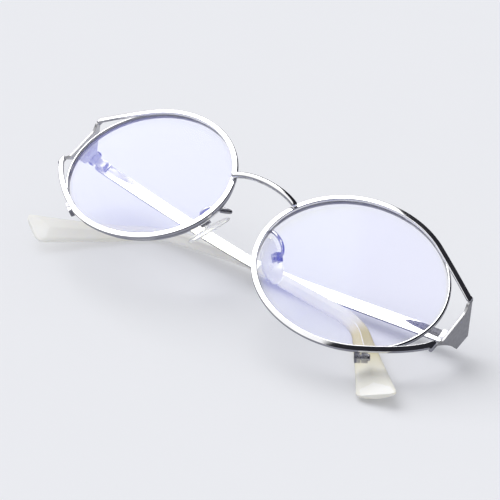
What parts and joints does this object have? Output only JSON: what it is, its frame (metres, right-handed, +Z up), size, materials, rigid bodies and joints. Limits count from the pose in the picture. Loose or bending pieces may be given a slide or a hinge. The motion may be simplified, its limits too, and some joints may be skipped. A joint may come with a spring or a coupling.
{
  "type": "spectacles",
  "caption": "Folding metal wire spectacles with clear oval lenses, flat front bows, adjustable nose pads and hinged temples that end in moulded ivory tips.",
  "frame": {"origin": "on the table, under the middle of the folded glasses", "axes": "+X to the wearer's left along the front, +Y towards the top of the lenses along the table, +Z up from the table"},
  "size_m": [0.1354, 0.0468, 0.0363],
  "materials": {
    "clear_lens": "clear, coated, with a faint violet reflex",
    "polished_silver": "mirror polished",
    "steel_fittings": "plain steel",
    "ivory_tip": "smooth, slightly translucent",
    "clear_pad": "clear, soft"
  },
  "bodies": {
    "front": {"lens_right": "clear_lens", "lens_left": "clear_lens", "eyewire_right": "polished_silver", "eyewire_left": "polished_silver", "bow_right": "polished_silver", "bow_left": "polished_silver", "bridge": "polished_silver", "endpiece_right": "polished_silver", "endpiece_left": "polished_silver", "front_hinge_leaf_right": "steel_fittings", "front_hinge_leaf_left": "steel_fittings", "hinge_screw_right": "steel_fittings", "hinge_screw_left": "steel_fittings", "upper_closing_block_right": "steel_fittings", "upper_closing_block_left": "steel_fittings", "lower_closing_block_right": "steel_fittings", "lower_closing_block_left": "steel_fittings", "closing_screw_right": "steel_fittings", "closing_screw_left": "steel_fittings", "pad_arm_right": "polished_silver", "pad_arm_left": "polished_silver", "pad_box_right": "steel_fittings", "pad_box_left": "steel_fittings", "pad_screw_right": "steel_fittings", "pad_screw_left": "steel_fittings"},
    "right_temple": {"temple_hinge_leaf_right": "steel_fittings", "temple_right": "polished_silver", "temple_tip_right": "ivory_tip"},
    "left_temple": {"temple_hinge_leaf_left": "steel_fittings", "temple_left": "polished_silver", "temple_tip_left": "ivory_tip"},
    "right_pad": {"nose_pad_right": "clear_pad"},
    "left_pad": {"nose_pad_left": "clear_pad"}
  },
  "joints": [
    {"name": "right_temple_hinge", "type": "hinge", "parent": "front", "child": "right_temple", "pos_m": [-0.06509, 0.01045, 0.01588], "axis": [0.0308, 0.9125, 0.4078], "range_deg": [0, 92]},
    {"name": "left_temple_hinge", "type": "hinge", "parent": "front", "child": "left_temple", "pos_m": [0.06498, 0.01045, 0.00606], "axis": [-0.0308, -0.9125, -0.4078], "range_deg": [0, 88]},
    {"name": "right_pad_pivot", "type": "hinge", "parent": "front", "child": "right_pad", "pos_m": [-0.01232, -0.00171, 0.01847], "axis": [0.3676, -0.8865, 0.2809], "range_deg": [-12, 12]},
    {"name": "left_pad_pivot", "type": "hinge", "parent": "front", "child": "left_pad", "pos_m": [0.0132, -0.00171, 0.01654], "axis": [-0.3213, -0.8865, 0.3329], "range_deg": [-12, 12]}
  ]
}
